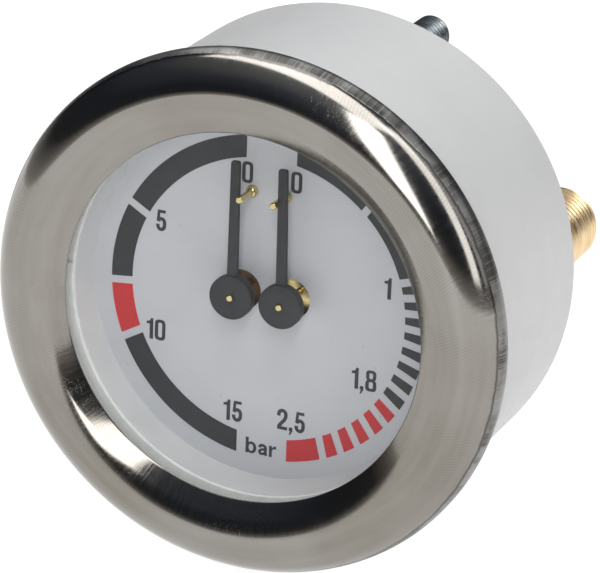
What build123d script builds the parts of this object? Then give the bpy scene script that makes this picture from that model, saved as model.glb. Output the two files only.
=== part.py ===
from build123d import *
import math
import os

os.makedirs("parts", exist_ok=True)

# Twin-pointer panel pressure gauge. Millimetres, +X right, +Z up, the dial faces -Y.
# The origin is midway between the two fixing studs, on the rear face of the case.
# "Front" levels below are distances in front of that rear face, so Y = -level.

# --- driving dimensions: case, bezel and dial ---------------------------------------------
CASE_R = 30.1
CASE_FLOOR = 2.5
CAVITY_R = 27.2
DIAL_SEAT_R = 28.0
WINDOW_SEAT_R = 28.6
FLANGE_R = 31.25
FLANGE_BACK = 29.25
FLANGE_CORNER = 30.1
FLANGE_FACE_R = 30.2
CASE_FRONT = 31.2
BEZEL_R = 32.18
BEZEL_BACK = 28.6
BEZEL_SHOULDER = 29.26
BEZEL_CREST_R = 27.44
BEZEL_CREST = 33.53
BEZEL_CREASE_R = 24.49
BEZEL_CREASE = 32.64
BEZEL_LIP_R = 22.66
BEZEL_LIP = 31.18
BEZEL_SHEET = 0.6
BEZEL_HOOK_R = 30.35
DIAL_FRONT = 24.05
DIAL_T = 0.8
DIAL_R = 27.9
DIAL_HOLE_R = 2.5
RING_FRONT = 28.1
WINDOW_T = 2.0
WINDOW_R = 28.4

# --- driving dimensions: pointers ---------------------------------------------------------
POINTER_X = 3.15
POINTER_Z = 0.76
POINTER_LENGTH = 17.05
BLADE_ROOT_W = 1.32
BLADE_TIP_W = 1.08
BLADE_BACK = 26.45
BLADE_FRONT = 27.05
HUB_R = 2.7
HUB_BACK = 26.05
HUB_FRONT = 27.35
SHAFT_END = 27.6
SHAFT_R = 0.375
STOP_PIN_X = 2.13
STOP_PIN_Z = 13.25
STOP_PIN_R = 0.42
STOP_COLLAR_R = 0.75
STOP_PIN_FRONT = 28.0

# --- driving dimensions: rear fittings ----------------------------------------------------
STUD_Z = 19.2
STUD_R = 2.5
STUD_NECK_R = 2.2
STUD_LENGTH = 26.9
STUD_PITCH = 0.8
SOCKET_X = 21.4
SOCKET_R = 4.86
SOCKET_LENGTH = 18.9
SOCKET_PITCH = 0.907
SOCKET_CRESTS = 14
COLLAR_R = 4.95
SEAL_T = 0.8
BLOCK_FRONT = 13.0
BLOCK_W = 9.0
EAR_T = 1.4
EAR_R = 2.1
EAR_X = 19.2
EAR_Z = 7.2

# --- driving dimensions: pressure movement (the right-hand one) ---------------------------
TUBE_X = 14.2
TUBE_R = 10.6
TUBE_W = 2.2
TUBE_H = 6.0
TUBE_WALL = 0.28
TUBE_MID = 8.0
TUBE_ROOT_DEG = -8.0
TUBE_END_DEG = 76.0
TIP_DEG = 70.0
TOOTH_MODULE = 0.3
PINION_TEETH = 10
SECTOR_TEETH = 60
GEAR_LINE_DEG = 43.345
TAIL_R = 5.0
TAIL_DEG = 48.406
BACK_PLATE = 13.0
FRONT_PLATE = 20.4
PLATE_T = 1.0
SECTOR_BACK = 16.0
SECTOR_T = 0.8
LINK_BACK = 17.0
LINK_T = 0.6
PIN_R = 0.45
RUNNING_GAP = 0.05

PINION_R = TOOTH_MODULE * PINION_TEETH / 2
SECTOR_R = TOOTH_MODULE * SECTOR_TEETH / 2
GEAR_LINE = math.radians(GEAR_LINE_DEG)
SECTOR_X = POINTER_X + (PINION_R + SECTOR_R) * math.cos(GEAR_LINE)
SECTOR_Z = POINTER_Z + (PINION_R + SECTOR_R) * math.sin(GEAR_LINE)
TAIL_X = SECTOR_X + TAIL_R * math.cos(math.radians(TAIL_DEG))
TAIL_Z = SECTOR_Z + TAIL_R * math.sin(math.radians(TAIL_DEG))
TIP_X = TUBE_X + TUBE_R * math.cos(math.radians(TIP_DEG))
TIP_Z = TUBE_R * math.sin(math.radians(TIP_DEG))
PILLARS = [(18.9, 3.1), (18.9, -3.1), (12.5, -0.5)]


def front(level):
    """Plane parallel to the dial; sketch x is X, sketch y is Z, extrusions run to the front."""
    return Plane.XZ.offset(level)


def axial(x=0, z=0):
    """Half-plane for turned parts: sketch x is the radius, sketch y is the front level."""
    return Plane(origin=(x, 0, z), x_dir=(1, 0, 0), z_dir=(0, 0, -1))


def turning_axis(x=0, z=0):
    return Axis((x, 0, z), (0, 1, 0))


def polar(radius, degrees):
    return (radius * math.cos(math.radians(degrees)), radius * math.sin(math.radians(degrees)))


def save(builder, label):
    builder.part.label = label
    export_step(builder.part, f"parts/{label}.step")


def save_pair(builder, name):
    """The left-hand movement is the mirror image of the right-hand one."""
    save(builder, f"right_{name}")
    with BuildPart() as twin:
        add(mirror(builder.part, about=Plane.YZ, mode=Mode.PRIVATE))
    save(twin, f"left_{name}")


def disc(level, thickness, radius, spots, mode=Mode.ADD):
    """Extrude one disc at each spot, from level towards the front."""
    with BuildSketch(front(level)) as circles:
        with Locations(*spots):
            Circle(radius)
    extrude(circles.sketch, amount=thickness, mode=mode)


def turn(points, x=0, z=0, mode=Mode.ADD):
    """Revolve a closed outline of (radius, front level) points about the axis at (x, z)."""
    with BuildSketch(axial(x, z)) as profile:
        with BuildLine():
            Polyline(*points, close=True)
        make_face()
    revolve(profile.sketch, axis=turning_axis(x, z), mode=mode)


def thread_outline(crest_r, root_r, pitch, first, crests):
    """Ring-grooved stand-in for a thread, from the front level `first` towards the rear."""
    half_crest = 0.24 * pitch
    half_root = 0.06 * pitch
    points = []
    for turn_number in range(crests):
        level = first - turn_number * pitch
        groove = level - pitch / 2
        points += [(crest_r, level + half_crest), (crest_r, level - half_crest)]
        points += [(root_r, groove + half_root), (root_r, groove - half_root)]
    return points[:-2]


# === case, bezel, window and dial =========================================================
STUDS = [(0, STUD_Z), (0, -STUD_Z)]
SOCKETS = [(SOCKET_X, 0), (-SOCKET_X, 0)]
SOCKET_SCREWS = [(EAR_X, EAR_Z), (EAR_X, -EAR_Z)]
COUNTERSINK = [(0, -0.1), (2.0, -0.1), (2.0, 0.25), (1.1, 1.25), (0, 1.25)]

with BuildPart() as case:
    with BuildSketch(axial()):
        with BuildLine():
            Polyline(
                (0, 0), (CASE_R, 0), (CASE_R, FLANGE_BACK), (FLANGE_R, FLANGE_BACK),
                (FLANGE_R, FLANGE_CORNER), (FLANGE_FACE_R, CASE_FRONT),
                (WINDOW_SEAT_R, CASE_FRONT), (WINDOW_SEAT_R, RING_FRONT),
                (DIAL_SEAT_R, RING_FRONT), (DIAL_SEAT_R, DIAL_FRONT - DIAL_T),
                (CAVITY_R, DIAL_FRONT - DIAL_T), (CAVITY_R, CASE_FLOOR), (0, CASE_FLOOR),
                close=True,
            )
        make_face()
    revolve(axis=turning_axis())
    disc(0, CASE_FLOOR, STUD_NECK_R + 0.05, STUDS, mode=Mode.SUBTRACT)
    disc(0, CASE_FLOOR, COLLAR_R + 0.05, SOCKETS, mode=Mode.SUBTRACT)
    for side in (1, -1):
        spots = [(side * x, z) for x, z in SOCKET_SCREWS]
        disc(0, CASE_FLOOR, 1.1, spots, mode=Mode.SUBTRACT)
        for x, z in spots:
            turn(COUNTERSINK, x, z, mode=Mode.SUBTRACT)
    back_corner = case.edges().filter_by(
        lambda e: e.geom_type == GeomType.CIRCLE and abs(e.radius - CASE_R) < 0.01
        and abs(e.center().Y) < 0.01
    )
    fillet(back_corner, radius=1.2)
save(case, "case")

with BuildPart() as bezel:
    skin_r = BEZEL_R - BEZEL_SHEET
    skin_crest = BEZEL_CREST - BEZEL_SHEET
    fold_r = BEZEL_CREASE_R + 0.3
    fold = BEZEL_CREASE - 0.52
    rim_r = BEZEL_LIP_R + BEZEL_SHEET
    with BuildSketch(axial()):
        with BuildLine():
            Bezier(
                (BEZEL_R, BEZEL_SHOULDER), (BEZEL_R, BEZEL_SHOULDER + 1.81),
                (BEZEL_CREST_R + 2.01, BEZEL_CREST), (BEZEL_CREST_R, BEZEL_CREST),
            )
            Bezier(
                (BEZEL_CREST_R, BEZEL_CREST), (BEZEL_CREST_R - 0.38, BEZEL_CREST),
                (BEZEL_CREASE_R + 1.04, BEZEL_CREASE + 0.62), (BEZEL_CREASE_R, BEZEL_CREASE),
            )
            Bezier(
                (BEZEL_CREASE_R, BEZEL_CREASE), (BEZEL_CREASE_R - 0.63, BEZEL_CREASE - 0.45),
                (BEZEL_LIP_R + 0.29, BEZEL_LIP + 0.72), (BEZEL_LIP_R, BEZEL_LIP),
            )
            Polyline(
                (BEZEL_LIP_R, BEZEL_LIP), (BEZEL_LIP_R, BEZEL_LIP - BEZEL_SHEET),
                (rim_r, BEZEL_LIP - BEZEL_SHEET), (rim_r, BEZEL_LIP),
            )
            Bezier(
                (rim_r, BEZEL_LIP), (rim_r + 0.24, BEZEL_LIP + 0.25),
                (fold_r - 0.6, fold - 0.4), (fold_r, fold),
            )
            Bezier(
                (fold_r, fold), (fold_r + 0.96, fold + 0.58),
                (BEZEL_CREST_R - 0.38, skin_crest), (BEZEL_CREST_R, skin_crest),
            )
            Bezier(
                (BEZEL_CREST_R, skin_crest), (BEZEL_CREST_R + 1.76, skin_crest),
                (skin_r, BEZEL_SHOULDER + 1.5), (skin_r, BEZEL_SHOULDER),
            )
            Polyline(
                (skin_r, BEZEL_SHOULDER), (skin_r, BEZEL_BACK + BEZEL_SHEET),
                (BEZEL_HOOK_R, BEZEL_BACK + BEZEL_SHEET), (BEZEL_HOOK_R, BEZEL_BACK),
                (BEZEL_R, BEZEL_BACK), (BEZEL_R, BEZEL_SHOULDER),
            )
        make_face()
    revolve(axis=turning_axis())
save(bezel, "bezel")

WINDOW_BACK = BEZEL_LIP - BEZEL_SHEET - WINDOW_T

with BuildPart() as window:
    disc(WINDOW_BACK, WINDOW_T, WINDOW_R, [(0, 0)])
    chamfer(window.edges(), length=0.2)
save(window, "window")

with BuildPart() as window_gasket:
    disc(RING_FRONT, WINDOW_BACK - RING_FRONT, WINDOW_R - 0.2, [(0, 0)])
    disc(RING_FRONT, WINDOW_BACK - RING_FRONT, BEZEL_LIP_R + 0.5, [(0, 0)], mode=Mode.SUBTRACT)
save(window_gasket, "window_gasket")

with BuildPart() as spacer_ring:
    turn([
        (22.5, DIAL_FRONT), (DIAL_R, DIAL_FRONT), (DIAL_R, RING_FRONT), (22.95, RING_FRONT),
    ])
save(spacer_ring, "spacer_ring")

POINTERS = [(POINTER_X, POINTER_Z), (-POINTER_X, POINTER_Z)]
STOPS = [(STOP_PIN_X, STOP_PIN_Z), (-STOP_PIN_X, STOP_PIN_Z)]
STOP_HOLE_R = STOP_PIN_R + 0.01

with BuildPart() as dial_plate:
    disc(DIAL_FRONT - DIAL_T, DIAL_T, DIAL_R, [(0, 0)])
    disc(DIAL_FRONT - DIAL_T, DIAL_T, DIAL_HOLE_R, POINTERS, mode=Mode.SUBTRACT)
    disc(DIAL_FRONT - DIAL_T, DIAL_T, STOP_HOLE_R, STOPS, mode=Mode.SUBTRACT)
save(dial_plate, "dial_plate")

with BuildPart() as stop_pin:
    rivet_back = DIAL_FRONT - DIAL_T - 0.3
    with BuildSketch(axial(STOP_PIN_X, STOP_PIN_Z)):
        with BuildLine():
            Polyline(
                (STOP_PIN_R, DIAL_FRONT - DIAL_T), (0.8, DIAL_FRONT - DIAL_T), (0.7, rivet_back),
                (0, rivet_back), (0, STOP_PIN_FRONT), (STOP_PIN_R - 0.1, STOP_PIN_FRONT),
                (STOP_PIN_R, STOP_PIN_FRONT - 0.1), (STOP_PIN_R, DIAL_FRONT + 0.75),
            )
            ThreePointArc(
                (STOP_PIN_R, DIAL_FRONT + 0.75), (STOP_COLLAR_R - 0.08, DIAL_FRONT + 0.55),
                (STOP_COLLAR_R, DIAL_FRONT + 0.3),
            )
            Polyline(
                (STOP_COLLAR_R, DIAL_FRONT + 0.3), (STOP_COLLAR_R, DIAL_FRONT),
                (STOP_PIN_R, DIAL_FRONT), (STOP_PIN_R, DIAL_FRONT - DIAL_T),
            )
        make_face()
    revolve(axis=turning_axis(STOP_PIN_X, STOP_PIN_Z))
save_pair(stop_pin, "stop_pin")

# === fixing studs =========================================================================
STUD_CRESTS = round((STUD_LENGTH - 0.8) / STUD_PITCH)

for name, z in (("top", STUD_Z), ("bottom", -STUD_Z)):
    with BuildPart() as fixing_stud:
        thread_root = STUD_R - 0.61 * STUD_PITCH
        grooves = thread_outline(STUD_R, thread_root, STUD_PITCH, -0.25, STUD_CRESTS)
        turn(
            [(0, CASE_FLOOR + 2.5), (4.2, CASE_FLOOR + 2.5), (4.2, CASE_FLOOR)]
            + [(STUD_NECK_R, CASE_FLOOR), (STUD_NECK_R, 0), (STUD_R, 0)] + grooves
            + [(thread_root, -STUD_LENGTH), (0, -STUD_LENGTH)],
            0, z,
        )
    save(fixing_stud, f"fixing_stud_{name}")

# === right-hand pressure connection (the left one is its mirror image) ====================
SEAL_FRONT = CASE_FLOOR + SEAL_T
BLOCK_BORE_R = 1.25

with BuildPart() as socket_seal:
    disc(CASE_FLOOR, SEAL_T, COLLAR_R + 0.75, [(SOCKET_X, 0)])
    disc(CASE_FLOOR, SEAL_T, COLLAR_R + 0.05, [(SOCKET_X, 0)], mode=Mode.SUBTRACT)
save_pair(socket_seal, "socket_seal")


def tube_section(width, height, degrees):
    """Flattened oval of the curved tube, on the radial plane at the given angle."""
    angle = math.radians(degrees)
    plane = Plane(
        origin=(TUBE_X, -TUBE_MID, 0),
        x_dir=(math.cos(angle), 0, math.sin(angle)),
        z_dir=(math.sin(angle), 0, -math.cos(angle)),
    )
    with BuildSketch(plane) as section:
        with Locations((TUBE_R, 0)):
            SlotOverall(height, width, rotation=90)
    return section.sketch


with BuildPart() as socket:
    with BuildSketch(front(SEAL_FRONT)):
        with Locations((EAR_X, 0)):
            SlotCenterToCenter(2 * EAR_Z, 2 * EAR_R, rotation=90)
    extrude(amount=EAR_T)
    with BuildSketch(front(SEAL_FRONT)):
        with Locations((SOCKET_X, 0)):
            RectangleRounded(BLOCK_W, BLOCK_W, 1.0)
    extrude(amount=BLOCK_FRONT - SEAL_FRONT)
    thread_end = -SOCKET_LENGTH
    first_crest = thread_end + 0.75 + (SOCKET_CRESTS - 1) * SOCKET_PITCH
    root_r = SOCKET_R - 0.64 * SOCKET_PITCH
    turn(
        [(0, SEAL_FRONT + 1), (COLLAR_R, SEAL_FRONT + 1), (COLLAR_R, -1.2), (4.2, -2.0)]
        + [(4.2, first_crest + 0.9)]
        + thread_outline(SOCKET_R, root_r, SOCKET_PITCH, first_crest, SOCKET_CRESTS)
        + [(root_r, thread_end), (0, thread_end)],
        SOCKET_X,
    )
    disc(thread_end, SOCKET_LENGTH + TUBE_MID, BLOCK_BORE_R, [(SOCKET_X, 0)], mode=Mode.SUBTRACT)
    disc(thread_end, 4.0, 2.0, [(SOCKET_X, 0)], mode=Mode.SUBTRACT)
    with BuildSketch(Plane.YZ.offset(SOCKET_X)):
        with Locations((-TUBE_MID, -0.9)):
            Circle(0.8)
    extrude(amount=TUBE_R + TUBE_X - SOCKET_X - TUBE_W / 2, mode=Mode.SUBTRACT)
    tube_slot = tube_section(TUBE_W + 0.06, TUBE_H + 0.06, TUBE_ROOT_DEG + 1.0)
    revolve(tube_slot, axis=turning_axis(TUBE_X), revolution_arc=40, mode=Mode.SUBTRACT)
    disc(SEAL_FRONT, EAR_T, 0.8, SOCKET_SCREWS, mode=Mode.SUBTRACT)
    disc(
        BLOCK_FRONT - 1.8, 1.8, 0.6,
        [(SOCKET_X + 1.4, 2.7), (SOCKET_X + 1.4, -2.7)], mode=Mode.SUBTRACT,
    )
save_pair(socket, "socket")

with BuildPart() as socket_screws:
    for x, z in SOCKET_SCREWS:
        turn([
            (0, 0.05), (1.9, 0.05), (1.9, 0.25), (1.0, 1.25), (0.75, 1.5),
            (0.75, SEAL_FRONT + EAR_T), (0, SEAL_FRONT + EAR_T),
        ], x, z)
        with BuildSketch(front(0.05)):
            with Locations((x, z)):
                Rectangle(2.2, 0.4)
                Rectangle(0.4, 2.2)
        extrude(amount=0.5, mode=Mode.SUBTRACT)
save_pair(socket_screws, "socket_screws")

with BuildPart() as restrictor_screw:
    turn([
        (0.3, -SOCKET_LENGTH + 1.2), (1.95, -SOCKET_LENGTH + 1.2), (1.95, -SOCKET_LENGTH + 4.0),
        (1.2, -SOCKET_LENGTH + 4.0), (1.2, -SOCKET_LENGTH + 7.0), (0.3, -SOCKET_LENGTH + 7.0),
    ], SOCKET_X)
    with BuildSketch(front(-SOCKET_LENGTH + 1.2)):
        with Locations((SOCKET_X, 0)):
            Rectangle(3.9, 0.5)
    extrude(amount=0.8, mode=Mode.SUBTRACT)
save_pair(restrictor_screw, "restrictor_screw")

# === right-hand curved tube and its tip ===================================================
TUBE_SWEEP = 360 - (TUBE_END_DEG - TUBE_ROOT_DEG)

with BuildPart() as bourdon_tube:
    tube_skin = tube_section(TUBE_W, TUBE_H, TUBE_ROOT_DEG)
    revolve(tube_skin, axis=turning_axis(TUBE_X), revolution_arc=TUBE_SWEEP)
    tube_bore = tube_section(TUBE_W - 2 * TUBE_WALL, TUBE_H - 2 * TUBE_WALL, TUBE_ROOT_DEG)
    revolve(
        tube_bore, axis=turning_axis(TUBE_X), revolution_arc=TUBE_SWEEP, mode=Mode.SUBTRACT
    )
save_pair(bourdon_tube, "bourdon_tube")

with BuildPart() as tip_piece:
    with BuildSketch(front(TUBE_MID - TUBE_H / 2 - 0.2)):
        with BuildLine():
            inner = TUBE_R - TUBE_W / 2 - 0.1
            outer = TUBE_R + TUBE_W / 2 + 0.1
            cap_start = [(TUBE_X + x, z) for x, z in (
                polar(inner, TUBE_END_DEG), polar(outer, TUBE_END_DEG),
                polar(outer, TIP_DEG - 4), polar(inner, TIP_DEG - 4),
            )]
            Polyline(*cap_start, close=True)
        make_face()
    extrude(amount=TUBE_H + 0.4)
    disc(TUBE_MID, SECTOR_BACK + SECTOR_T - TUBE_MID, 1.1, [(TIP_X, TIP_Z)])
    disc(SECTOR_BACK - 2.5, 3.5, PIN_R, [(TIP_X, TIP_Z)], mode=Mode.SUBTRACT)
save_pair(tip_piece, "tip_piece")


def headed_pin(x, z, back, head):
    """Pivot pin with a thin head at its front."""
    turn([
        (0, back), (PIN_R - 0.01, back), (PIN_R - 0.01, head), (PIN_R + 0.4, head),
        (PIN_R + 0.4, head + 0.25), (PIN_R + 0.2, head + 0.4), (0, head + 0.4),
    ], x, z)


PIN_HEAD = LINK_BACK + LINK_T + 0.05

with BuildPart() as tip_link_pin:
    headed_pin(TIP_X, TIP_Z, SECTOR_BACK - 2.4, PIN_HEAD)
save_pair(tip_link_pin, "tip_link_pin")

with BuildPart() as sector_link_pin:
    headed_pin(TAIL_X, TAIL_Z, SECTOR_BACK, PIN_HEAD + 0.05)
save_pair(sector_link_pin, "sector_link_pin")

OPEN_PIVOT_GAP = 0.17

LINK_DEG = math.degrees(math.atan2(TAIL_Z - TIP_Z, TAIL_X - TIP_X))

with BuildPart() as link:
    with BuildSketch(front(LINK_BACK)):
        with Locations(Pos((TIP_X + TAIL_X) / 2, (TIP_Z + TAIL_Z) / 2) * Rot(0, 0, LINK_DEG)):
            SlotCenterToCenter(math.dist((TIP_X, TIP_Z), (TAIL_X, TAIL_Z)), 2.1)
        with Locations((TIP_X, TIP_Z)):
            Circle(PIN_R - 0.01 + RUNNING_GAP, mode=Mode.SUBTRACT)
        with Locations((TAIL_X, TAIL_Z)):
            Circle(PIN_R - 0.01 + OPEN_PIVOT_GAP, mode=Mode.SUBTRACT)
    extrude(amount=LINK_T)
save_pair(link, "link")

# === right-hand sector, pinion and pointer ================================================
PRESSURE_ANGLE = math.radians(20)
PROFILE_SHIFT = 0.4 * TOOTH_MODULE
BACKLASH = 0.05
FLANK_STEPS = 4


def involute(angle):
    return math.tan(angle) - angle


def tooth_flank(pitch_r, shift, tip_r):
    """Half-thickness angle of an involute tooth at a few radii, from its base to its tip."""
    base_r = pitch_r * math.cos(PRESSURE_ANGLE)
    half_at_pitch = (
        (math.pi * TOOTH_MODULE / 2 + 2 * shift * math.tan(PRESSURE_ANGLE) - BACKLASH)
        / (2 * pitch_r)
    )
    start_r = max(base_r, pitch_r - 1.1 * TOOTH_MODULE + shift)
    flank = []
    for step in range(FLANK_STEPS + 1):
        r = start_r + (tip_r - start_r) * step / FLANK_STEPS
        pressure = math.acos(min(1.0, base_r / r))
        flank.append((r, half_at_pitch + involute(PRESSURE_ANGLE) - involute(pressure)))
    return flank


def gear_tooth(centre, pitch_r, shift, tip_r, root_r, heading):
    """Closed outline of one tooth whose middle points along `heading` (radians)."""
    flank = tooth_flank(pitch_r, shift, tip_r)
    right = [(root_r - 0.05, flank[0][1])] + flank
    left = [(r, -half) for r, half in reversed(right)]
    return [
        (centre[0] + r * math.cos(heading + half), centre[1] + r * math.sin(heading + half))
        for r, half in right + left
    ]


def add_teeth(centre, pitch_r, shift, tip_r, root_r, headings):
    for heading in headings:
        with BuildLine() as outline:
            Polyline(*gear_tooth(centre, pitch_r, shift, tip_r, root_r, heading), close=True)
        make_face(outline.edges())


PINION_TIP = PINION_R + TOOTH_MODULE + PROFILE_SHIFT - 0.02
PINION_ROOT = PINION_R - 1.25 * TOOTH_MODULE + PROFILE_SHIFT
SECTOR_TIP = SECTOR_R + TOOTH_MODULE - PROFILE_SHIFT - 0.02
SECTOR_ROOT = SECTOR_R - 1.25 * TOOTH_MODULE - PROFILE_SHIFT
ARBOR_R = 0.6
PIVOT_R = 0.4
COLLET_BACK = 18.2
COLLET_T = 1.3

with BuildPart() as pinion_arbor:
    turn([
        (0, BACK_PLATE + 0.1), (PIVOT_R, BACK_PLATE + 0.1),
        (PIVOT_R, BACK_PLATE + PLATE_T + 0.1), (ARBOR_R, BACK_PLATE + PLATE_T + 0.1),
        (ARBOR_R, FRONT_PLATE - 0.1), (PIVOT_R, FRONT_PLATE - 0.1), (PIVOT_R, HUB_BACK - 0.1),
        (SHAFT_R, HUB_BACK - 0.1), (SHAFT_R, SHAFT_END - 0.05), (SHAFT_R - 0.05, SHAFT_END),
        (0, SHAFT_END),
    ], POINTER_X, POINTER_Z)
    pinion_centre = (POINTER_X, POINTER_Z)
    pinion_headings = [
        GEAR_LINE + 2 * math.pi * number / PINION_TEETH for number in range(PINION_TEETH)
    ]
    with BuildSketch(front(SECTOR_BACK - 0.4)):
        with Locations(pinion_centre):
            Circle(PINION_ROOT)
        add_teeth(
            pinion_centre, PINION_R, PROFILE_SHIFT, PINION_TIP, PINION_ROOT, pinion_headings
        )
    extrude(amount=SECTOR_T + 0.8)
save_pair(pinion_arbor, "pinion_arbor")

SECTOR_PITCH = 2 * math.pi / SECTOR_TEETH
SECTOR_FIRST = -6
SECTOR_LAST = 1
TO_PINION = GEAR_LINE + math.pi
RIM_W = 1.3
SECTOR_CENTRE = (SECTOR_X, SECTOR_Z)


def around_sector(radius, heading):
    return (SECTOR_X + radius * math.cos(heading), SECTOR_Z + radius * math.sin(heading))


with BuildPart() as sector:
    low = TO_PINION + (SECTOR_FIRST - 0.1) * SECTOR_PITCH
    high = TO_PINION + (SECTOR_LAST + 1.1) * SECTOR_PITCH
    middle = (low + high) / 2
    tooth_headings = [
        TO_PINION + (number + 0.5) * SECTOR_PITCH
        for number in range(SECTOR_FIRST, SECTOR_LAST + 1)
    ]
    with BuildSketch(front(SECTOR_BACK)):
        with BuildLine():
            Line(SECTOR_CENTRE, around_sector(SECTOR_ROOT, low))
            ThreePointArc(
                around_sector(SECTOR_ROOT, low), around_sector(SECTOR_ROOT, middle),
                around_sector(SECTOR_ROOT, high),
            )
            Line(around_sector(SECTOR_ROOT, high), SECTOR_CENTRE)
        make_face()
        inset = 0.16
        with BuildLine():
            Line(around_sector(3.0, low + 0.26), around_sector(SECTOR_ROOT - RIM_W, low + inset))
            ThreePointArc(
                around_sector(SECTOR_ROOT - RIM_W, low + inset),
                around_sector(SECTOR_ROOT - RIM_W, middle),
                around_sector(SECTOR_ROOT - RIM_W, high - inset),
            )
            Line(around_sector(SECTOR_ROOT - RIM_W, high - inset), around_sector(3.0, high - 0.26))
            Line(around_sector(3.0, high - 0.26), around_sector(3.0, low + 0.26))
        make_face(mode=Mode.SUBTRACT)
        add_teeth(
            SECTOR_CENTRE, SECTOR_R, -PROFILE_SHIFT, SECTOR_TIP, SECTOR_ROOT, tooth_headings
        )
        with Locations(SECTOR_CENTRE):
            Circle(1.7)
        with Locations(
            Pos((SECTOR_X + TAIL_X) / 2, (SECTOR_Z + TAIL_Z) / 2) * Rot(0, 0, TAIL_DEG)
        ):
            SlotCenterToCenter(TAIL_R, 2.1)
    extrude(amount=SECTOR_T)
    disc(SECTOR_BACK - 0.6, SECTOR_T + 1.2, 1.2, [SECTOR_CENTRE])
    disc(SECTOR_BACK - 0.6, SECTOR_T + 1.2, ARBOR_R, [SECTOR_CENTRE], mode=Mode.SUBTRACT)
    disc(SECTOR_BACK, SECTOR_T, PIN_R, [(TAIL_X, TAIL_Z)], mode=Mode.SUBTRACT)
save_pair(sector, "sector")

with BuildPart() as sector_arbor:
    turn([
        (0, BACK_PLATE + 0.1), (PIVOT_R, BACK_PLATE + 0.1),
        (PIVOT_R, BACK_PLATE + PLATE_T + 0.1), (ARBOR_R, BACK_PLATE + PLATE_T + 0.1),
        (ARBOR_R, FRONT_PLATE - 0.1), (PIVOT_R, FRONT_PLATE - 0.1),
        (PIVOT_R, FRONT_PLATE + PLATE_T - 0.1), (0, FRONT_PLATE + PLATE_T - 0.1),
    ], SECTOR_X, SECTOR_Z)
save_pair(sector_arbor, "sector_arbor")

with BuildPart() as hairspring_collet:
    disc(COLLET_BACK, COLLET_T, 1.0, [pinion_centre])
    disc(COLLET_BACK, COLLET_T, ARBOR_R, [pinion_centre], mode=Mode.SUBTRACT)
save_pair(hairspring_collet, "hairspring_collet")

SPRING_TURNS = 2.5
SPRING_IN_R = 1.06
SPRING_OUT_R = 2.5
SPRING_W = 0.07
SPRING_BACK = 18.5
SPRING_H = 0.6
SPRING_END_DEG = 30.0
STUD_HEADING = math.radians(SPRING_END_DEG)
SPRING_STUD = (
    POINTER_X + (SPRING_OUT_R + 0.47) * math.cos(STUD_HEADING),
    POINTER_Z + (SPRING_OUT_R + 0.47) * math.sin(STUD_HEADING),
)


def spiral(offset):
    """One edge of the flat hairspring, `offset` outside its middle line."""
    points = []
    steps = int(SPRING_TURNS * 16)
    for step in range(steps + 1):
        share = step / steps
        radius = SPRING_IN_R + (SPRING_OUT_R - SPRING_IN_R) * share + offset
        heading = STUD_HEADING - (1 - share) * SPRING_TURNS * 2 * math.pi
        points.append((
            POINTER_X + radius * math.cos(heading), POINTER_Z + radius * math.sin(heading)
        ))
    return points


with BuildPart() as hairspring:
    with BuildSketch(front(SPRING_BACK)):
        with BuildLine():
            inner_edge = spiral(0)
            outer_edge = spiral(SPRING_W)
            Spline(*inner_edge)
            Line(inner_edge[-1], outer_edge[-1])
            Spline(*outer_edge)
            Line(outer_edge[0], inner_edge[0])
        make_face()
    extrude(amount=SPRING_H)
save_pair(hairspring, "hairspring")

with BuildPart() as hairspring_stud:
    disc(SPRING_BACK - 0.2, FRONT_PLATE - SPRING_BACK + 0.2, 0.38, [SPRING_STUD])
save_pair(hairspring_stud, "hairspring_stud")

with BuildPart() as pointer:
    with BuildSketch(front(BLADE_BACK)):
        with BuildLine():
            tip_z = POINTER_Z + POINTER_LENGTH
            Polyline(
                (POINTER_X - BLADE_ROOT_W / 2, POINTER_Z),
                (POINTER_X - BLADE_TIP_W / 2, tip_z - 0.2),
                (POINTER_X - BLADE_TIP_W / 2 + 0.2, tip_z),
                (POINTER_X + BLADE_TIP_W / 2 - 0.2, tip_z),
                (POINTER_X + BLADE_TIP_W / 2, tip_z - 0.2),
                (POINTER_X + BLADE_ROOT_W / 2, POINTER_Z),
                close=True,
            )
        make_face()
    extrude(amount=BLADE_FRONT - BLADE_BACK)
    disc(HUB_BACK, HUB_FRONT - HUB_BACK, HUB_R, [pinion_centre])
    hub_rim = pointer.edges().filter_by(GeomType.CIRCLE).group_by(Axis.Y)[0]
    chamfer(hub_rim, length=0.12)
    disc(HUB_BACK, HUB_FRONT - HUB_BACK, SHAFT_R, [pinion_centre], mode=Mode.SUBTRACT)
save_pair(pointer, "pointer")

# === right-hand movement plates, pillars and screws =======================================
MOUNT_SCREWS = [(SOCKET_X + 1.4, 2.7), (SOCKET_X + 1.4, -2.7)]
SCREW_R = 0.6


def plate(level, corners, through):
    """Movement plate: the outline stretched round its corner circles, with its holes."""
    with BuildSketch(front(level)) as outline:
        for x, z, r in corners:
            with Locations((x, z)):
                Circle(r)
        make_hull()
        for x, z, r in through:
            with Locations((x, z)):
                Circle(r, mode=Mode.SUBTRACT)
    extrude(outline.sketch, amount=PLATE_T)


PIVOT_HOLES = [
    (POINTER_X, POINTER_Z, PIVOT_R + RUNNING_GAP), (SECTOR_X, SECTOR_Z, PIVOT_R + RUNNING_GAP)
]
GEAR_CORNERS = [(POINTER_X, POINTER_Z, 2.5), (SECTOR_X, SECTOR_Z, 2.0)]

with BuildPart() as back_plate:
    plate(
        BACK_PLATE, GEAR_CORNERS + [(SOCKET_X + 1.6, 2.6, 1.9), (SOCKET_X + 1.6, -2.6, 1.9)],
        PIVOT_HOLES + [(x, z, SCREW_R + 0.05) for x, z in MOUNT_SCREWS],
    )
save_pair(back_plate, "back_plate")

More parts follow.
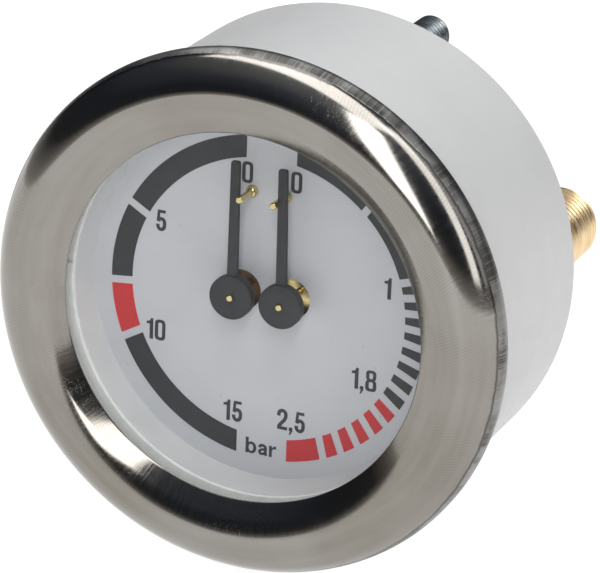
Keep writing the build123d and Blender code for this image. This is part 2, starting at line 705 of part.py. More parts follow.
with BuildPart() as front_plate:
    plate(
        FRONT_PLATE, GEAR_CORNERS + [(x, z, 1.9) for x, z in PILLARS],
        PIVOT_HOLES + [(x, z, SCREW_R + 0.05) for x, z in PILLARS],
    )
save_pair(front_plate, "front_plate")

PILLAR_BACK = BACK_PLATE + PLATE_T
SCREW_DEPTH = 2.5

with BuildPart() as pillars:
    disc(PILLAR_BACK, FRONT_PLATE - PILLAR_BACK, 1.1, PILLARS)
    disc(FRONT_PLATE - SCREW_DEPTH - 0.3, SCREW_DEPTH + 0.3, SCREW_R, PILLARS, mode=Mode.SUBTRACT)
save_pair(pillars, "pillars")


def cheese_screws(spots, seat, depth):
    """Slotted cheese-head screws whose heads sit on the level `seat`."""
    for x, z in spots:
        turn([
            (0, seat - depth), (SCREW_R - 0.01, seat - depth), (SCREW_R - 0.01, seat),
            (1.1, seat), (1.1, seat + 0.7), (0.95, seat + 0.85), (0, seat + 0.85),
        ], x, z)
        with BuildSketch(front(seat + 0.45)) as slot:
            with Locations((x, z)):
                Rectangle(2.4, 0.3)
        extrude(slot.sketch, amount=0.5, mode=Mode.SUBTRACT)


with BuildPart() as plate_screws:
    cheese_screws(PILLARS, FRONT_PLATE + PLATE_T, PLATE_T + SCREW_DEPTH)
save_pair(plate_screws, "plate_screws")

with BuildPart() as mounting_screws:
    cheese_screws(MOUNT_SCREWS, BACK_PLATE + PLATE_T, PLATE_T + 1.7)
save_pair(mounting_screws, "mounting_screws")
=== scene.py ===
import math

import bmesh
import bpy
from mathutils import Matrix, Vector


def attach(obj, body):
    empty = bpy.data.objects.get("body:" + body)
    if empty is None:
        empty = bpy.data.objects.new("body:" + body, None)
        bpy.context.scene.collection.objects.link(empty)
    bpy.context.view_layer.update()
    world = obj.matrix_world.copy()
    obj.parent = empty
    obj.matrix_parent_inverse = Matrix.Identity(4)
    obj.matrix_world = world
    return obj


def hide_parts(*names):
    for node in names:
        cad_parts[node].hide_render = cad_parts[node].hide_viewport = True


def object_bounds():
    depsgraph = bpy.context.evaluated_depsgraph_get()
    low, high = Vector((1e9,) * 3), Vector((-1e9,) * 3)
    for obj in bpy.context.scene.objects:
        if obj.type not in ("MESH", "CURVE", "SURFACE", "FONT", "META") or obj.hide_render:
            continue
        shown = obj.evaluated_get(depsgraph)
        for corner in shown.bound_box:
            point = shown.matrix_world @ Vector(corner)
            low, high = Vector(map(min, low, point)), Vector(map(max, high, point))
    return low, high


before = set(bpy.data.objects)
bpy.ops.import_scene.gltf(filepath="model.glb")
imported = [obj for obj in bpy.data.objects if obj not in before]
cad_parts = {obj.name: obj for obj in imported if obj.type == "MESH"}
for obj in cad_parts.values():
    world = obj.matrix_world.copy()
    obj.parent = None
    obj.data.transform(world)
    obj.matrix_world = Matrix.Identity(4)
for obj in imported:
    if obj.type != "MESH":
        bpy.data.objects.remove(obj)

CAD_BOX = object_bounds()
MM = 0.001
SIDES = (("right", 1), ("left", -1))

# Sizes in millimetres, in the frame's own directions: +X right, +Z up, and "level" is the
# distance in front of the case's rear face, so Y = -level.
AXIS_X = 3.15
AXIS_Z = 0.76
DIAL_FRONT = 24.05
BAND_FRONT = 30.95
PRINT_LEVEL = DIAL_FRONT - 0.02
PRINT_THICK = 0.045
HOUSING = "housing"


# === mesh helpers =========================================================================
def point(x, level, z):
    """Place in the frame, in metres, from millimetres and a level."""
    return Vector((x * MM, -level * MM, z * MM))


def add_object(name, vertices, faces, materials, body, sharp=35, weld=2e-7):
    """New piece from vertices and faces, welded, with outward normals and smooth shading."""
    mesh = bpy.data.meshes.new(name)
    mesh.from_pydata(vertices, [], faces)
    tidy_mesh(mesh, sharp, weld)
    return add_piece(name, mesh, materials, body)


def tidy_mesh(mesh, sharp, weld):
    """Welds and closes a mesh, turns its faces outwards and shades it smooth."""
    work = bmesh.new()
    work.from_mesh(mesh)
    bmesh.ops.remove_doubles(work, verts=work.verts, dist=weld)
    bmesh.ops.dissolve_degenerate(work, edges=work.edges, dist=weld)
    open_edges = [edge for edge in work.edges if len(edge.link_faces) == 1]
    bmesh.ops.holes_fill(work, edges=open_edges, sides=0)
    bmesh.ops.recalc_face_normals(work, faces=work.faces)
    work.to_mesh(mesh)
    work.free()
    mesh.shade_smooth()
    mesh.set_sharp_from_angle(angle=math.radians(sharp))


def add_piece(name, mesh, materials, body):
    """New piece that rides on a CAD body and says its material slot."""
    piece = bpy.data.objects.new(name, mesh)
    bpy.context.scene.collection.objects.link(piece)
    for material in materials:
        mesh.materials.append(material)
    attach(piece, body)
    return piece


def turned(profile, x=0.0, z=0.0, segments=96, closed=True):
    """Vertices and faces of an outline of (radius, level) turned about the axis at (x, z)."""
    vertices = []
    for radius, level in profile:
        for step in range(segments):
            angle = 2 * math.pi * step / segments
            vertices.append(
                point(x + radius * math.cos(angle), level, z + radius * math.sin(angle))
            )
    faces = []
    rows = len(profile)
    for row in range(rows if closed else rows - 1):
        after = (row + 1) % rows
        for step in range(segments):
            beside = (step + 1) % segments
            faces.append((
                row * segments + step, row * segments + beside,
                after * segments + beside, after * segments + step,
            ))
    return vertices, faces


def merge(*parts):
    """One list of vertices and faces out of several."""
    vertices, faces = [], []
    for more_vertices, more_faces in parts:
        start = len(vertices)
        vertices += more_vertices
        faces += [tuple(start + index for index in face) for face in more_faces]
    return vertices, faces


def bezier(start, first, second, end, steps):
    """Points of a cubic Bezier curve, without its start."""
    points = []
    for step in range(1, steps + 1):
        t = step / steps
        u = 1 - t
        points.append(tuple(
            u ** 3 * a + 3 * u * u * t * b + 3 * u * t * t * c + t ** 3 * d
            for a, b, c, d in zip(start, first, second, end)
        ))
    return points


def rounded(corners, radius, steps=4):
    """Closed outline whose corners are rounded off."""
    outline = []
    for index, corner in enumerate(corners):
        before = corners[index - 1]
        after = corners[(index + 1) % len(corners)]
        near = min(radius, 0.45 * math.dist(corner, before)) / math.dist(corner, before)
        far = min(radius, 0.45 * math.dist(corner, after)) / math.dist(corner, after)
        start = [c + (b - c) * near for c, b in zip(corner, before)]
        end = [c + (a - c) * far for c, a in zip(corner, after)]
        for step in range(steps + 1):
            t = step / steps
            outline.append(tuple(
                (1 - t) ** 2 * s + 2 * t * (1 - t) * c + t * t * e
                for s, c, e in zip(start, corner, end)
            ))
    return outline


def arc(centre, radius_x, radius_z, start, end, steps=24):
    """Points along an elliptical arc, angles in degrees anticlockwise from +X."""
    points = []
    for step in range(steps + 1):
        angle = math.radians(start + (end - start) * step / steps)
        points.append((
            centre[0] + radius_x * math.cos(angle), centre[1] + radius_z * math.sin(angle)
        ))
    return points


def plate_mesh(name, loops, level, thickness, edge=0.0):
    """Flat plate from closed outlines of (x, z): an outline inside another one is a hole."""
    curve = bpy.data.curves.new(name, "CURVE")
    curve.dimensions = "2D"
    curve.fill_mode = "BOTH"
    curve.extrude = thickness / 2 - edge
    curve.bevel_depth = edge
    curve.bevel_resolution = 2
    curve.offset = -edge
    for loop in loops:
        spline = curve.splines.new("POLY")
        spline.points.add(len(loop) - 1)
        for place, (x, z) in zip(spline.points, loop):
            place.co = (x, z, 0, 1)
        spline.use_cyclic_u = True
    holder = bpy.data.objects.new(name, curve)
    mesh = bpy.data.meshes.new_from_object(holder)
    bpy.data.objects.remove(holder)
    upright = Matrix.Rotation(math.radians(90), 4, "X")
    middle = Matrix.Translation((0, -(level + thickness / 2) * MM, 0))
    mesh.transform(middle @ upright @ Matrix.Scale(MM, 4))
    return mesh


def add_plates(name, plates, materials, body, sharp=35):
    """One piece out of several flat plates: (loops, level, thickness, edge) each."""
    vertices, faces = [], []
    for loops, level, thickness, edge in plates:
        mesh = plate_mesh(name, loops, level, thickness, edge)
        start = len(vertices)
        vertices += [vertex.co.copy() for vertex in mesh.vertices]
        faces += [tuple(start + index for index in face.vertices) for face in mesh.polygons]
        bpy.data.meshes.remove(mesh)
    return add_object(name, vertices, faces, materials, body, sharp)


# === material helpers =====================================================================
class Finish:
    """A Principled material and the few node recipes that every finish here is made of."""

    def __init__(self, name, colour, roughness, metallic=0.0, **constants):
        self.material = bpy.data.materials.new(name)
        self.material.use_nodes = True
        self.nodes = self.material.node_tree.nodes
        self.links = self.material.node_tree.links
        self.shader = self.nodes["Principled BSDF"]
        self.set("Base Color", (*colour, 1))
        self.set("Roughness", roughness)
        self.set("Metallic", metallic)
        for key, value in constants.items():
            self.set(key.replace("_", " ").title().replace("Ior", "IOR"), value)
        self.coordinates = self.nodes.new("ShaderNodeTexCoord")
        self.normal = None

    def set(self, key, value):
        self.shader.inputs[key].default_value = value

    def link(self, source, target):
        self.links.new(source, target)

    def math(self, operation, first, second=None, third=None):
        node = self.nodes.new("ShaderNodeMath")
        node.operation = operation
        for socket, value in zip(node.inputs, (first, second, third)):
            if value is None:
                continue
            if isinstance(value, (int, float)):
                socket.default_value = value
            else:
                self.link(value, socket)
        return node.outputs[0]

    def stretch(self, x, y, z):
        """Object coordinates in metres, times these factors."""
        node = self.nodes.new("ShaderNodeMapping")
        node.inputs["Scale"].default_value = (x, y, z)
        self.link(self.coordinates.outputs["Object"], node.inputs["Vector"])
        return node.outputs["Vector"]

    def split(self):
        node = self.nodes.new("ShaderNodeSeparateXYZ")
        self.link(self.coordinates.outputs["Object"], node.inputs[0])
        return node.outputs

    def around(self, angle_scale, radius_scale, level_scale, x=0.0, z=0.0):
        """Coordinates that run around, across and along the turning axis at (x, z) mm."""
        place = self.split()
        east = self.math("SUBTRACT", place[0], x * MM)
        north = self.math("SUBTRACT", place[2], z * MM)
        angle = self.math("ARCTAN2", north, east)
        radius = self.math(
            "SQRT", self.math("ADD", self.math("MULTIPLY", east, east),
                              self.math("MULTIPLY", north, north))
        )
        node = self.nodes.new("ShaderNodeCombineXYZ")
        self.link(self.math("MULTIPLY", angle, angle_scale), node.inputs[0])
        self.link(self.math("MULTIPLY", radius, radius_scale), node.inputs[1])
        self.link(self.math("MULTIPLY", place[1], level_scale), node.inputs[2])
        return node.outputs[0]

    def noise(self, vector, scale=1.0, detail=3.0, rough=0.5):
        node = self.nodes.new("ShaderNodeTexNoise")
        node.inputs["Scale"].default_value = scale
        node.inputs["Detail"].default_value = detail
        node.inputs["Roughness"].default_value = rough
        self.link(vector, node.inputs["Vector"])
        return node.outputs["Fac"]

    def wave(self, vector):
        """0 to 1 and back once per unit of the coordinate's first two parts added up."""
        node = self.nodes.new("ShaderNodeSeparateXYZ")
        self.link(vector, node.inputs[0])
        turns = self.math("ADD", node.outputs[0], node.outputs[1])
        swing = self.math("SINE", self.math("MULTIPLY", turns, 2 * math.pi))
        return self.math("MULTIPLY_ADD", swing, 0.5, 0.5)

    def specks(self, vector, scale, size):
        """1 in small scattered dots, 0 elsewhere."""
        node = self.nodes.new("ShaderNodeTexVoronoi")
        node.inputs["Scale"].default_value = scale
        self.link(vector, node.inputs["Vector"])
        return self.math("LESS_THAN", node.outputs["Distance"], size)

    def spread(self, value, low, high, start=0.3, end=0.7):
        """Value from start to end becomes low to high."""
        node = self.nodes.new("ShaderNodeMapRange")
        node.inputs["From Min"].default_value = start
        node.inputs["From Max"].default_value = end
        node.inputs["To Min"].default_value = low
        node.inputs["To Max"].default_value = high
        self.link(value, node.inputs["Value"])
        return node.outputs["Result"]

    def blend_colours(self, value, low, high):
        node = self.nodes.new("ShaderNodeMix")
        node.data_type = "RGBA"
        for socket, colour in ((node.inputs[6], low), (node.inputs[7], high)):
            if isinstance(colour, tuple):
                socket.default_value = (*colour, 1)
            else:
                self.link(colour, socket)
        self.link(value, node.inputs[0])
        return node.outputs[2]

    def colour(self, source):
        self.link(source, self.shader.inputs["Base Color"])

    def roughness(self, source):
        self.link(source, self.shader.inputs["Roughness"])

    def bump(self, height, distance, strength=1.0):
        """Adds a bump of `distance` millimetres on top of the bumps already there."""
        node = self.nodes.new("ShaderNodeBump")
        node.inputs["Strength"].default_value = strength
        node.inputs["Distance"].default_value = distance * MM
        self.link(height, node.inputs["Height"])
        if self.normal is not None:
            self.link(self.normal, node.inputs["Normal"])
        self.normal = node.outputs["Normal"]
        self.link(self.normal, self.shader.inputs["Normal"])


# Ripple left by the spinning tool: waves per radian around, and per metre of radius.
CHATTER_COUNT = 72
CHATTER_LEAN = -1100


def bezel_finish():
    """Polished stainless steel with spinning marks, and a dull serrated band at its rear edge."""
    f = Finish("bezel_steel", (0.27, 0.255, 0.23), 0.14, 1.0)
    grind = f.noise(f.around(150, 300, 300), 1.0, 2.0)
    patches = f.noise(f.stretch(45, 45, 45), 1.0, 3.0)
    streaks = f.noise(f.around(2.5, 900, 900), 1.0, 3.0)
    chatter = f.wave(f.around(CHATTER_COUNT, CHATTER_LEAN, 0))
    worked = f.spread(f.noise(f.around(3, 60, 60), 1.0, 2.0), 0.0, 1.0, 0.42, 0.6)
    pits = f.math("MULTIPLY", f.specks(f.stretch(1, 1, 1), 3600, 0.16),
                  f.spread(f.noise(f.stretch(140, 140, 140)), 0, 1, 0.5, 0.72))
    polished = f.blend_colours(f.spread(patches, 0, 1), (0.225, 0.205, 0.175),
                               (0.305, 0.292, 0.272))
    ripple = f.math("MULTIPLY", f.math("MULTIPLY", chatter, worked), 0.24)
    polished = f.blend_colours(ripple, polished, (0.15, 0.138, 0.12))
    polished = f.blend_colours(f.spread(streaks, 0, 0.22), polished, (0.38, 0.36, 0.335))
    level = f.math("MULTIPLY", f.split()[1], -1.0)
    wander = f.noise(f.around(7, 0, 0), 1.0, 4.0, 0.7)
    ragged = f.math("ADD", level, f.math("MULTIPLY", wander, 0.0008))
    edge = f.spread(ragged, 1, 0, BAND_FRONT * MM, BAND_FRONT * MM + 0.00006)
    # Painted shade: a thin near-black line just in front of the band, where the shade of a groove
    # would fall; the ring's shape has no groove.
    groove_shade = f.math("SUBTRACT", f.spread(ragged, 1, 0, (BAND_FRONT + 0.2) * MM,
                                         (BAND_FRONT + 0.42) * MM), edge)
    teeth = f.noise(f.around(300, 25, 40), 1.0, 2.0)
    chips = f.noise(f.around(8, 300, 300), 1.0, 3.0)
    worn = f.blend_colours(f.spread(chips, 0, 1, 0.46, 0.6), (0.085, 0.083, 0.078),
                           (0.24, 0.235, 0.225))
    worn = f.blend_colours(f.spread(teeth, 0, 0.5, 0.5, 0.64), worn, (0.42, 0.41, 0.39))
    colour = f.blend_colours(f.math("MULTIPLY", groove_shade, 0.7), polished, (0.03, 0.03, 0.03))
    f.colour(f.blend_colours(edge, colour, worn))
    shine = f.math("ADD", f.spread(grind, 0.085, 0.16), f.math("MULTIPLY", pits, 0.2))
    f.roughness(f.math("MAXIMUM", shine, f.math("MULTIPLY", edge, 0.36)))
    f.bump(grind, 0.003, 0.35)
    f.bump(f.math("MULTIPLY", pits, -1.0), 0.004, 0.6)
    f.bump(f.math("MULTIPLY", teeth, edge), 0.03, 0.6)
    return f.material


def case_finish():
    """Milky moulded plastic, slightly translucent, satin."""
    f = Finish("case_plastic", (0.57, 0.572, 0.568), 0.42, subsurface_weight=0.25)
    f.set("Subsurface Radius", (1.0, 1.0, 1.0))
    f.set("Subsurface Scale", 0.003)
    cloud = f.noise(f.stretch(45, 45, 45), 1.0, 3.0)
    f.colour(f.blend_colours(f.spread(cloud, 0, 1), (0.53, 0.532, 0.528), (0.575, 0.575, 0.569)))
    f.roughness(f.spread(f.noise(f.stretch(400, 400, 400)), 0.38, 0.52))
    f.bump(f.noise(f.stretch(1500, 1500, 1500), 1.0, 2.0), 0.01, 0.3)
    f.bump(cloud, 0.12, 0.3)
    return f.material


def paint_finish(name, low, high, roughness, grain=1800, bump=0.006, specks=0.0):
    """Matt paint, ink or enamel: fine grain, and if asked a few darker specks."""
    f = Finish(name, low, roughness)
    cloud = f.noise(f.stretch(160, 160, 160), 1.0, 4.0)
    colour = f.blend_colours(f.spread(cloud, 0, 1), low, high)
    if specks:
        dots = f.specks(f.stretch(1, 1, 1), 420, specks)
        darker = tuple(0.45 * channel for channel in low)
        colour = f.blend_colours(dots, colour, darker)
    f.colour(colour)
    fine = f.noise(f.stretch(grain, grain, grain), 1.0, 2.0)
    f.roughness(f.spread(fine, roughness - 0.06, roughness + 0.08))
    f.bump(fine, bump, 0.4)
    return f.material


def metal_finish(name, low, high, roughness, turned_at=None, scratch=0.004):
    """Plain metal with tarnish patches; turned parts get tool marks around their axis."""
    f = Finish(name, low, roughness, 1.0)
    tarnish = f.noise(f.stretch(380, 380, 380), 1.0, 4.0)
    f.colour(f.blend_colours(f.spread(tarnish, 0, 1), low, high))
    if turned_at is None:
        marks = f.noise(f.stretch(300, 2400, 2400), 1.0, 2.0)
    else:
        marks = f.noise(f.around(1.5, 5000, 5000, *turned_at), 1.0, 2.0)
    f.roughness(f.spread(marks, roughness - 0.07, roughness + 0.1))
    f.bump(marks, scratch, 0.5)
    return f.material


def rubber_finish():
    """Milky silicone with a painted glow: a little emission stands in for the light that comes
    through the case.
    """
    f = Finish("seal_rubber", (0.74, 0.75, 0.73), 0.6)
    # Painted glow: emission in place of the light that the translucent case lets through.
    f.set("Emission Color", (0.9, 0.92, 0.9, 1))
    f.set("Emission Strength", 0.12)
    grain = f.noise(f.stretch(900, 900, 900), 1.0, 5.0)
    f.colour(f.blend_colours(f.spread(grain, 0, 1), (0.68, 0.69, 0.67), (0.78, 0.79, 0.77)))
    f.bump(grain, 0.02, 0.5)
    return f.material


def glass_finish():
    """Clear pane: a faint painted haze, which stands in for the pane's dim reflection, with a few
    wiping marks.
    """
    # Painted reflection: the grey base colour at low alpha lays a faint haze over the dial in
    # place of the pane's reflection.
    f = Finish("window_glass", (0.25, 0.26, 0.27), 0.05, alpha=0.05)
    wiping = f.noise(f.stretch(60, 60, 700), 1.0, 3.0)
    f.roughness(f.spread(wiping, 0.03, 0.10))
    f.link(f.spread(wiping, 0.022, 0.042), f.shader.inputs["Alpha"])
    return f.material


def floor_finish():
    """Pale floor that is partly self-lit, so it stays even and nearly white."""
    f = Finish("studio_floor", (0.2, 0.2, 0.2), 0.7)
    f.set("Emission Color", (1, 1, 1, 1))
    f.set("Emission Strength", 0.93)
    cloud = f.noise(f.stretch(3, 3, 3))
    f.colour(f.blend_colours(f.spread(cloud, 0, 1), (0.18, 0.18, 0.18), (0.22, 0.22, 0.22)))
    return f.material


STEEL = bezel_finish()
PLASTIC = case_finish()
ENAMEL = paint_finish("dial_enamel", (0.54, 0.553, 0.58), (0.57, 0.583, 0.61), 0.42, specks=0.035)
RING = paint_finish("ring_plastic", (0.62, 0.63, 0.63), (0.67, 0.68, 0.68), 0.4)
BLACK_INK = paint_finish("black_ink", (0.022, 0.024, 0.025), (0.031, 0.033, 0.034), 0.55)
RED_INK = paint_finish("red_ink", (0.54, 0.022, 0.027), (0.61, 0.03, 0.034), 0.55)
POINTER_PAINT = paint_finish("pointer_paint", (0.014, 0.014, 0.015), (0.024, 0.024, 0.026), 0.55,
                             bump=0.015)
RUBBER = rubber_finish()
GLASS = glass_finish()
BRASS = metal_finish("brass", (0.58, 0.46, 0.19), (0.74, 0.61, 0.30), 0.22)
DULL_BRASS = metal_finish("dull_brass", (0.40, 0.26, 0.10), (0.56, 0.38, 0.17), 0.36)
# Painted shade: a darkened copy of brass for the left front plate, which lies in shadow behind the
# dial hole.
SHADED_BRASS = metal_finish("painted_shade_brass", (0.09, 0.045, 0.02), (0.20, 0.11, 0.05), 0.4)
BRONZE = metal_finish("spring_bronze", (0.52, 0.30, 0.14), (0.66, 0.42, 0.22), 0.3)
ZINC = metal_finish("zinc_steel", (0.15, 0.175, 0.18), (0.27, 0.30, 0.31), 0.3)


# === camera, lights and floor =============================================================
CAMERA_PLACE = Vector((0.16444, -0.40268, 0.16041))
CAMERA_AIM = Vector((0.00723, -0.0305, 0.00547))
CAMERA_ROLL = 2.2226
LENS = 226.06
SHIFT = (-0.00275, -0.00315)


def add_camera():
    data = bpy.data.cameras.new("camera")
    data.lens = LENS
    data.sensor_width = 36
    data.shift_x, data.shift_y = SHIFT
    camera = bpy.data.objects.new("camera", data)
    bpy.context.scene.collection.objects.link(camera)
    camera.location = CAMERA_PLACE
    facing = (CAMERA_AIM - CAMERA_PLACE).to_track_quat("-Z", "Y").to_matrix()
    roll = Matrix.Rotation(math.radians(CAMERA_ROLL), 3, "Z")
    camera.rotation_euler = (facing @ roll).to_euler()
    bpy.context.scene.camera = camera


def soft_box(name, azimuth, elevation, distance, width, height, radiance, lean=0.0):
    """Area light facing the gauge; azimuth 0 is in front of the dial and +90 is at its right."""
    data = bpy.data.lights.new(name, "AREA")
    data.shape = "RECTANGLE"
    data.size = width
    data.size_y = height
    data.energy = radiance * math.pi * width * height
    light = bpy.data.objects.new(name, data)
    bpy.context.scene.collection.objects.link(light)
    a, e = math.radians(azimuth), math.radians(elevation)
    away = Vector((math.sin(a) * math.cos(e), -math.cos(a) * math.cos(e), math.sin(e)))
    light.location = Vector((0, -0.02, 0)) + away * distance
    facing = away.to_track_quat("Z", "Y").to_matrix()
    light.rotation_euler = (facing @ Matrix.Rotation(math.radians(lean), 3, "Z")).to_euler()
    light.visible_camera = False


# Colours of the room from straight below, 0, past the horizon, 0.5, to straight above, 1.
WORLD_RAMP = (
    (0.46, (0.45, 0.43, 0.41)), (1.0, (0.30, 0.31, 0.32)), (0.5, (0.24, 0.23, 0.22)),
    (0.55, (0.035, 0.036, 0.039)), (0.68, (0.03, 0.036, 0.05)), (0.82, (0.07, 0.08, 0.105)),
)


def add_world():
    """Dim room in the reflections and the light, pale behind the object for the camera."""
    world = bpy.data.worlds.new("studio")
    bpy.context.scene.world = world
    world.use_nodes = True
    nodes, links = world.node_tree.nodes, world.node_tree.links
    background = nodes["Background"]
    path = nodes.new("ShaderNodeLightPath")
    place = nodes.new("ShaderNodeTexCoord")
    split = nodes.new("ShaderNodeSeparateXYZ")
    ramp = nodes.new("ShaderNodeValToRGB")
    for stop, (position, colour) in enumerate(WORLD_RAMP):
        if stop < 2:
            element = ramp.color_ramp.elements[stop]
            element.position = position
        else:
            element = ramp.color_ramp.elements.new(position)
        element.color = (*colour, 1)
    height = nodes.new("ShaderNodeMapRange")
    height.inputs["From Min"].default_value = -1
    links.new(place.outputs["Generated"], split.inputs[0])
    links.new(split.outputs[2], height.inputs["Value"])
    links.new(height.outputs["Result"], ramp.inputs["Fac"])
    choice = nodes.new("ShaderNodeMix")
    choice.data_type = "RGBA"
    choice.inputs[7].default_value = (0.96, 0.96, 0.96, 1)
    links.new(path.outputs["Is Camera Ray"], choice.inputs[0])
    links.new(ramp.outputs["Color"], choice.inputs[6])
    links.new(choice.outputs[2], background.inputs["Color"])


def add_floor():
    work = bmesh.new()
    bmesh.ops.create_circle(work, cap_ends=True, radius=0.55, segments=96)
    mesh = bpy.data.meshes.new("floor")
    work.to_mesh(mesh)
    work.free()
    floor = bpy.data.objects.new("floor", mesh)
    floor.location = (0, 0, CAD_BOX[0].z - 0.0001)
    mesh.materials.append(floor_finish())
    bpy.context.scene.collection.objects.link(floor)


# Name, azimuth, elevation, distance, width, height, radiance, lean.
SOFT_BOXES = (
    ("front_box", 17, 30, 1.0, 0.26, 0.98, 5.2, -15),
    ("right_box", 100, 33, 1.0, 0.8, 1.1, 0.65, 0.0),
    ("right_strip", 66, 33, 1.0, 0.22, 1.1, 2.6, 0.0),
    ("rear_box", -165, 50, 1.0, 1.1, 0.7, 1.35, 0.0),
    ("top_box", -35, 83, 1.0, 1.3, 0.42, 3.2, 0.0),
)

add_camera()
add_world()
add_floor()
for box in SOFT_BOXES:
    soft_box(*box)
bpy.context.scene.view_settings.view_transform = "Standard"
bpy.context.scene.view_settings.look = "None"


# === bezel ================================================================================
BEZEL_R = 32.18
BEZEL_BACK = 28.6
CREST = (27.44, 33.53)
CREASE = (24.49, 32.64)
LIP = (22.66, 31.5)
SHEET = 0.6


def add_bezel():
    """Rolled ring: the outside of the outline first, then back along its inside."""
    shoulder = (BEZEL_R, 29.26)
    inner_foot = (BEZEL_R - SHEET, BEZEL_BACK + SHEET)
    outline = [(BEZEL_R - 0.12, BEZEL_BACK), (BEZEL_R - 0.03, BEZEL_BACK + 0.04)]
    outline += [(BEZEL_R, BEZEL_BACK + 0.14), shoulder]
    outline += bezier(shoulder, (BEZEL_R, 31.07), (CREST[0] + 2.01, CREST[1]), CREST, 40)
    outline += bezier(
        CREST, (CREST[0] - 0.38, CREST[1]), (CREASE[0] + 1.04, CREASE[1] + 0.62), CREASE, 24
    )
    outline += bezier(
        CREASE, (CREASE[0] - 0.62, CREASE[1] - 0.37), (LIP[0] + 0.6, LIP[1] + 0.4), LIP, 16
    )
    outline += bezier(
        LIP, (LIP[0] - 0.06, LIP[1] - 0.06), (LIP[0] - 0.04, LIP[1] - 0.12),
        (LIP[0] + 0.05, LIP[1] - 0.15), 4,
    )
    outline += [(LIP[0] + 0.35, LIP[1] - 0.2), (LIP[0] + SHEET, LIP[1])]
    outline += bezier(
        (LIP[0] + SHEET, LIP[1]), (LIP[0] + 0.9, LIP[1] + 0.3),
        (CREASE[0] - 0.3, CREASE[1] - 0.9), (CREASE[0] + 0.3, CREASE[1] - 0.52), 8,
    )
    outline += bezier(
        (CREASE[0] + 0.3, CREASE[1] - 0.52), (CREASE[0] + 1.26, CREASE[1] + 0.06),
        (CREST[0] - 0.38, CREST[1] - SHEET), (CREST[0], CREST[1] - SHEET), 10,
    )
    outline += bezier(
        (CREST[0], CREST[1] - SHEET), (CREST[0] + 1.76, CREST[1] - SHEET),
        (BEZEL_R - SHEET, 30.76), (BEZEL_R - SHEET, 29.26), 16,
    )
    outline += [inner_foot, (30.35, BEZEL_BACK + SHEET), (30.35, BEZEL_BACK)]
    vertices, faces = turned(outline, segments=256)
    bezel = add_object("bezel_ring", vertices, faces, [STEEL], HOUSING, 40)
    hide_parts("bezel")


# === dial print ===========================================================================
PRINT_CENTRE = (0.15, 0.0)
BAND_IN = 17.55
BAND_OUT = 20.28
GAP = 0.95


def ray(side, degrees, offset):
    """Line beside the ray that leaves the pointer's axis at this angle from 12 o'clock."""
    angle = math.radians(degrees)
    along = (side * math.sin(angle), math.cos(angle))
    across = (along[1] * side, -along[0] * side)
    start = (side * AXIS_X + across[0] * offset, AXIS_Z + across[1] * offset)
    return start, along


def upright(x, down):
    """Upright line at this x, as a start and a direction."""
    return (x, 0.0), (0.0, -1.0 if down else 1.0)


def crossing(line, radius):
    """Angle at which a line leaves the circle of this radius round the print's centre."""
    (x, z), (dx, dz) = line
    x -= PRINT_CENTRE[0]
    z -= PRINT_CENTRE[1]
    half = x * dx + z * dz
    reach = -half + math.sqrt(half * half - x * x - z * z + radius * radius)
    return math.degrees(math.atan2(z + reach * dz, x + reach * dx))


def band_piece(start, end, side):
    """Outline of one block of a scale, between two lines; the right scale runs clockwise."""
    turn = 360 if side > 0 else -360

    def sweep(radius):
        first = crossing(start, radius)
        last = crossing(end, radius)
        while (first - last) * side < 0:
            last -= turn
        while (first - last) * side > 360:
            last += turn
        return first, last

    outer = sweep(BAND_OUT)
    inner = sweep(BAND_IN)
    steps = max(3, int(abs(outer[1] - outer[0]) / 2))
    loop = arc(PRINT_CENTRE, BAND_OUT, BAND_OUT, outer[0], outer[1], steps)
    return loop + arc(PRINT_CENTRE, BAND_IN, BAND_IN, inner[1], inner[0], steps)


def scale_blocks(side, top_x, bottom_x, gaps, reds):
    """Black and red blocks between the top cut, the gaps and the bottom cut."""
    starts = [upright(top_x, False)] + [ray(side, gap, GAP / 2) for gap in gaps]
    ends = [ray(side, gap, -GAP / 2) for gap in gaps] + [upright(bottom_x, True)]
    blocks = {False: [], True: []}
    for number, (start, end) in enumerate(zip(starts, ends)):
        blocks[number in reds].append(band_piece(start, end, side))
    return blocks


def add_scales():
    fine_gaps = [36.0] + [72.0 + 7.2 * step for step in range(14)]
    scales = (
        ("left", scale_blocks(-1, -3.05, -3.15, [60.0, 96.0, 120.0], {2})),
        ("right", scale_blocks(1, 3.35, 3.35, fine_gaps, set(range(10, 16)))),
    )
    for name, blocks in scales:
        for red, ink, word in ((False, BLACK_INK, "black"), (True, RED_INK, "red")):
            plates = [([loop], PRINT_LEVEL, PRINT_THICK, 0.0) for loop in blocks[red]]
            add_plates(f"{name}_scale_{word}", plates, [ink], HOUSING)


# === numerals =============================================================================
FIGURE_H = 2.65
STROKE = 0.44


def stroke(path, width):
    """Closed outline of a line of this width along the path, square at both ends."""
    sides = ([], [])
    last = len(path) - 1
    for index, (x, z) in enumerate(path):
        ax, az = path[max(index - 1, 0)]
        bx, bz = path[min(index + 1, last)]
        into = Vector((x - ax, z - az)) if index else Vector((bx - x, bz - z))
        out = Vector((bx - x, bz - z)) if index < last else into
        into.normalize()
        out.normalize()
        normal = Vector((-into.y - out.y, into.x + out.x)).normalized()
        reach = width / 2 / max(0.5, normal.dot(Vector((-into.y, into.x))))
        sides[0].append((x + normal.x * reach, z + normal.y * reach))
        sides[1].append((x - normal.x * reach, z - normal.y * reach))
    return sides[0] + sides[1][::-1]


def zero(width=1.4):
    side = width / 2
    outer = rounded([(0, 0), (width, 0), (width, FIGURE_H), (0, FIGURE_H)], 0.62, 6)
    slim = side - STROKE
    hole = rounded([
        (side - slim, 0.38), (side + slim, 0.38), (side + slim, FIGURE_H - 0.38),
        (side - slim, FIGURE_H - 0.38),
    ], 0.24, 5)
    return [[outer, hole]]


def one():
    outline = [
        (0.42, 0), (0.88, 0), (0.88, FIGURE_H), (0.55, FIGURE_H), (0.5, 2.44), (0.36, 2.27),
        (0.0, 2.2), (0.0, 1.9), (0.42, 1.9),
    ]
    return [[outline]]


